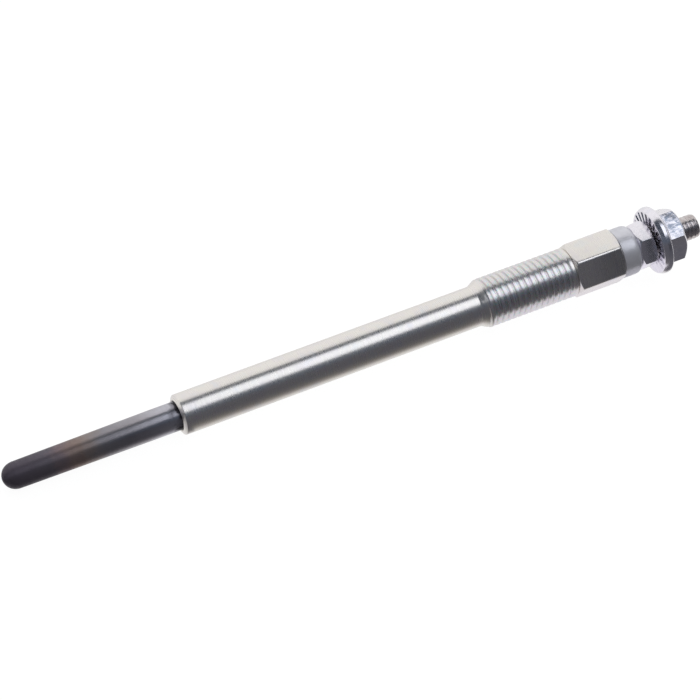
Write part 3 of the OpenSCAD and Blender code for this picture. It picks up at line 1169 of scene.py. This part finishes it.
@dataclass(frozen=True)
class Card:
    """A card that stands or lies along X.

    Attributes:
        name: Its name.
        outline: Places across X and heights that it passes through.
        ends: Stations of its two ends.
        tones: Its colours by place across X at the origin, from the lowest place to the highest.
        rests: Whether its heights are measured from the sloping floor.
        slant: How far the tones move towards -Y for each millimetre along X.
    """

    name: str
    outline: tuple[Place, ...]
    ends: Place
    tones: Tones
    rests: bool = True
    slant: float = 0.0


@dataclass
class Studio:
    """White floor, overhead softbox in a dark ceiling, cards for the metal to mirror, and the camera.

    The plug rests on its flange and on the front edge of its shell, so the floor slopes to touch both.
    Angles are about the plug's axis, as everywhere here, and the cards show only in mirrors. A card that
    lies behind another sheet is a gap away from it.
    """

    flange_x: float = 30.85
    flange_r: float = 5.55
    front_x: float = -52.6
    front_r: float = 3.275
    floor_half: float = 3000.0
    floor_glow: float = 0.955
    room_fill: float = 0.3
    ceiling: float = 600.0
    ceiling_from: float = -24.0
    soft_from: float = -2.0
    soft_to: float = 39.0
    soft_x: Place = (-60.0, 640.0)
    soft_watts: float = 1.55
    skirt_x: Place = (-1000.0, -450.0)
    room_x: Place = (-1200.0, 1500.0)
    far_end: Place = (-6000.0, -1200.0)
    wall_y: float = 170.0
    wall_split: float = 0.4
    gap: float = 2.0
    table_y: float = 600.0
    table_lift: float = 0.08
    patch_lift: float = 0.12
    bounce_at: Corner = (60.0, 350.0, 420.0)
    bounce_size: Place = (600.0, 400.0)
    bounce_watts: float = 1.4
    sensor: float = 36.0
    lens: float = 4500 * 36 / 700
    distance: float = 700.9
    azimuth: float = -26.484
    elevation: float = 47.6
    target_x: float = -22.95
    shift: Place = (-1.76 / 700, 1.37 / 700)
    clip_end: float = 100.0

    def floor_level(self, x: float) -> float:
        """Height of the floor at a station."""
        slope = (self.front_r - self.flange_r) / (self.flange_x - self.front_x)
        return -self.front_r + slope * (x - self.front_x)

    def overhead(self, angle: float) -> float:
        """Place across X at the ceiling's height that is seen from the axis at an angle."""
        return -self.ceiling * math.tan(math.radians(angle))

    def sheet(self, name: str, outline: Sequence[Place], ends: Place, rests: bool) -> bpy.types.Object:
        """Makes a sheet of the stage that runs along X.

        Args:
            name: Its name.
            outline: Places across X and heights that it passes through.
            ends: Stations of its two ends.
            rests: Whether its heights are measured from the sloping floor.

        Returns:
            The sheet.
        """
        points = []
        for x in ends:
            level = self.floor_level(x) if rests else 0.0
            points += [(x * MM, y * MM, (z + level) * MM) for y, z in outline]
        n = len(outline)
        faces = [(i, i + 1, n + i + 1, n + i) for i in range(n - 1)]
        mesh = bpy.data.meshes.new(name)
        mesh.from_pydata(points, [], faces)
        obj = bpy.data.objects.new(name, mesh)
        bpy.context.scene.collection.objects.link(obj)
        return obj

    def seen_directly(self, tree: bpy.types.NodeTree) -> bpy.types.Node:
        """Adds nodes that give 1 to rays from the camera, from a mirror or through glass.

        Args:
            tree: Node tree of a material or of the world.

        Returns:
            The node that holds the result.
        """
        path = add(tree, "ShaderNodeLightPath", {})
        either = add(
            tree, "ShaderNodeMath", {"operation": "MAXIMUM"},
            {0: (path, "Is Camera Ray"), 1: (path, "Is Glossy Ray")},
        )
        return add(
            tree, "ShaderNodeMath", {"operation": "MAXIMUM"},
            {0: (either, "Value"), 1: (path, "Is Transmission Ray")},
        )

    def lay_floor(self) -> None:
        """Lays the floor, which reads as white and keeps the plug's faint shadow."""
        half = self.floor_half
        floor = self.sheet("floor", [(-half, 0.0), (half, 0.0)], (-half, half), True)
        material, tree, _ = blank_material("white_acrylic_sheet")
        seen = self.seen_directly(tree)
        glow = add(
            tree, "ShaderNodeMath", {"operation": "MULTIPLY", 1: self.floor_glow}, {0: (seen, "Value")}
        )
        matt = add(tree, "ShaderNodeBsdfDiffuse", {"Color": "#5c5c5c"})
        light = add(tree, "ShaderNodeEmission", {"Color": "#ffffff"}, {"Strength": (glow, "Value")})
        both = add(tree, "ShaderNodeAddShader", {}, {0: (matt, "BSDF"), 1: (light, "Emission")})
        add(tree, "ShaderNodeOutputMaterial", {}, {"Surface": (both, "Shader")})
        floor.data.materials.append(material)

    def light_world(self) -> None:
        """Gives the room a white background and a dim fill."""
        world = bpy.data.worlds.new("white_room")
        world.use_nodes = True
        tree = world.node_tree
        tree.nodes.clear()
        seen = self.seen_directly(tree)
        strength = add(
            tree, "ShaderNodeMapRange", {"To Min": self.room_fill, "To Max": 1.0}, {"Value": (seen, "Value")}
        )
        room = add(tree, "ShaderNodeBackground", {"Color": "#ffffff"}, {"Strength": (strength, "Result")})
        add(tree, "ShaderNodeOutputWorld", {}, {"Surface": (room, "Background")})
        bpy.context.scene.world = world

    def hang_card(self, card: Card) -> None:
        """Hangs a card that only mirrors show, as a photographer's flag does from outside the picture.

        Args:
            card: The card.
        """
        sheet = self.sheet(card.name, card.outline, card.ends, card.rests)
        material, tree, place = blank_material(card.name)
        low, high = card.tones[0][0], card.tones[-1][0]
        across = add(
            tree, "ShaderNodeVectorMath", {"operation": "DOT_PRODUCT", 1: (card.slant, 1.0, 0.0)},
            {0: (place, "Vector")},
        )
        share = add(
            tree, "ShaderNodeMapRange", {"From Min": low, "From Max": high}, {"Value": (across, "Value")}
        )
        stops = [((y - low) / (high - low), colour) for y, colour in card.tones]
        tone = add(tree, "ShaderNodeValToRGB", {"stops": stops}, {"Fac": (share, "Result")})
        shade = add(tree, "ShaderNodeEmission", {"Strength": 1.0}, {"Color": (tone, "Color")})
        add(tree, "ShaderNodeOutputMaterial", {}, {"Surface": (shade, "Emission")})
        sheet.data.materials.append(material)
        sheet.visible_camera = False
        sheet.visible_diffuse = False
        sheet.visible_shadow = False
        sheet.visible_transmission = False

    def cards(self) -> list[Card]:
        """Lists the cards: ceiling, far end, the dark room before the table, and what lies beside the plug.

        Returns:
            The cards.
        """
        rear, front = self.overhead(self.ceiling_from), self.overhead(self.soft_to)
        soft_rear = self.overhead(self.soft_from)
        above = self.ceiling + self.gap
        wall = -self.wall_y
        before_wall = self.gap - self.wall_y
        wall_top = self.wall_y / math.tan(math.radians(self.soft_to))
        wall_middle = self.wall_split * wall_top
        lift = self.patch_lift
        return [
            Card(
                "dark_ceiling", ((front, above), (rear, above)), self.room_x,
                ((front, "#38404b"), (rear, "#353e4a")), rests=False,
            ),
            Card(
                "softbox_skirt", ((front, self.ceiling), (soft_rear, self.ceiling)), self.skirt_x,
                ((front, "#e2e6ee"), (rear, "#e2e6ee")), rests=False,
            ),
            Card(
                "dark_far_end", ((front, above), (4.0 * rear, above)), self.far_end,
                ((front, "#3c3f45"), (rear, "#3a3d42")), rests=False,
            ),
            Card(
                "table_and_dark_room",
                ((wall, wall_top), (wall, self.table_lift), (self.table_y, self.table_lift)),
                (self.far_end[0], self.room_x[1]),
                (
                    (-26.6, "#59595f"), (-21.6, "#5c5c61"), (-12.0, "#636265"), (-8.3, "#706e6d"),
                    (-5.9, "#9a9694"), (-4.2, "#e0dedd"), (-2.8, "#f2f2f2"),
                ),
                slant=0.015,
            ),
            Card(
                "cool_wall_top", ((before_wall, wall_top), (before_wall, wall_middle)), self.room_x,
                ((wall, "#545c68"), (0.0, "#545c68")), rests=False,
            ),
            Card(
                "dark_wall_end", ((before_wall, wall_middle), (before_wall, 0.2)), (84.0, 400.0),
                ((wall, "#434449"), (0.0, "#434449")),
            ),
            Card(
                "tube_shadow", ((-16.0, lift), (-2.4, lift)), (-120.0, -51.0),
                (
                    (-16.0, "#56565b"), (-8.0, "#57575c"), (-5.0, "#656469"), (-3.8, "#979596"),
                    (-2.4, "#e4e3e4"),
                ),
            ),
            Card(
                "white_strip", ((-9.6, lift), (6.0, lift)), (1.0, 29.6),
                ((-9.6, "#8a8a8c"), (-9.0, "#d8d8d8"), (-8.0, "#f2f0f7")),
            ),
            Card(
                "flange_shadow", ((-14.0, lift), (-4.6, lift)), (29.8, 60.0),
                ((-14.0, "#5f5f65"), (-5.6, "#66656a"), (-4.6, "#b0aeae")),
            ),
        ]

    def hang_lamps(self) -> None:
        """Hangs the softbox over the plug, and the bounce from the white wall, which mirrors don't show."""
        near, far = self.overhead(self.soft_from), self.overhead(self.soft_to)
        soft_at = (sum(self.soft_x) / 2, (near + far) / 2, self.ceiling)
        soft_size = (self.soft_x[1] - self.soft_x[0], near - far)
        for name, place, size, watts, colour, mirrored in (
            ("softbox", soft_at, soft_size, self.soft_watts, "#f6f9ff", True),
            ("wall_bounce", self.bounce_at, self.bounce_size, self.bounce_watts, "#ffffff", False),
        ):
            light = bpy.data.lights.new(name, "AREA")
            light.shape = "RECTANGLE"
            light.size, light.size_y = size[0] * MM, size[1] * MM
            light.energy = watts
            light.color = linear(colour)[:3]
            lamp = bpy.data.objects.new(name, light)
            lamp.location = Vector(place) * MM
            lamp.visible_camera = False
            if not mirrored:
                lamp.visible_glossy = False
                lamp.rotation_mode = "QUATERNION"
                lamp.rotation_quaternion = (-lamp.location).to_track_quat("-Z", "Y")
            bpy.context.scene.collection.objects.link(lamp)

    def set_camera(self) -> None:
        """Sets the camera at the photograph's viewing angle."""
        turn, rise = math.radians(self.azimuth), math.radians(self.elevation)
        back = Vector((math.sin(turn) * math.cos(rise), -math.cos(turn) * math.cos(rise), math.sin(rise)))
        camera = bpy.data.objects.new("camera", bpy.data.cameras.new("camera"))
        camera.data.lens = self.lens
        camera.data.sensor_width = self.sensor
        camera.data.shift_x, camera.data.shift_y = self.shift
        camera.data.clip_end = self.clip_end
        camera.location = Vector((self.target_x * MM, 0.0, 0.0)) + back * (self.distance * MM)
        camera.rotation_mode = "QUATERNION"
        camera.rotation_quaternion = (-back).to_track_quat("-Z", "Y")
        bpy.context.scene.collection.objects.link(camera)
        bpy.context.scene.camera = camera

    def build(self) -> None:
        """Builds the whole stage."""
        self.set_camera()
        self.lay_floor()
        self.light_world()
        for card in self.cards():
            self.hang_card(card)
        self.hang_lamps()
        bpy.context.scene.view_settings.view_transform = "Standard"
        LOG.info("stage: floor, room, cards, lamps and camera")


def main() -> None:
    """Builds the plug's pieces in order, dresses them and sets the stage."""
    logging.basicConfig(level=logging.INFO, format="%(name)s: %(message)s")
    for part in (Shell(), GlowTube(), TerminalPin(), InsulatingBush(), LockNut(), TerminalNut()):
        part.build()
    Insides().dress()
    Studio().build()


if __name__ == "__main__":
    main()
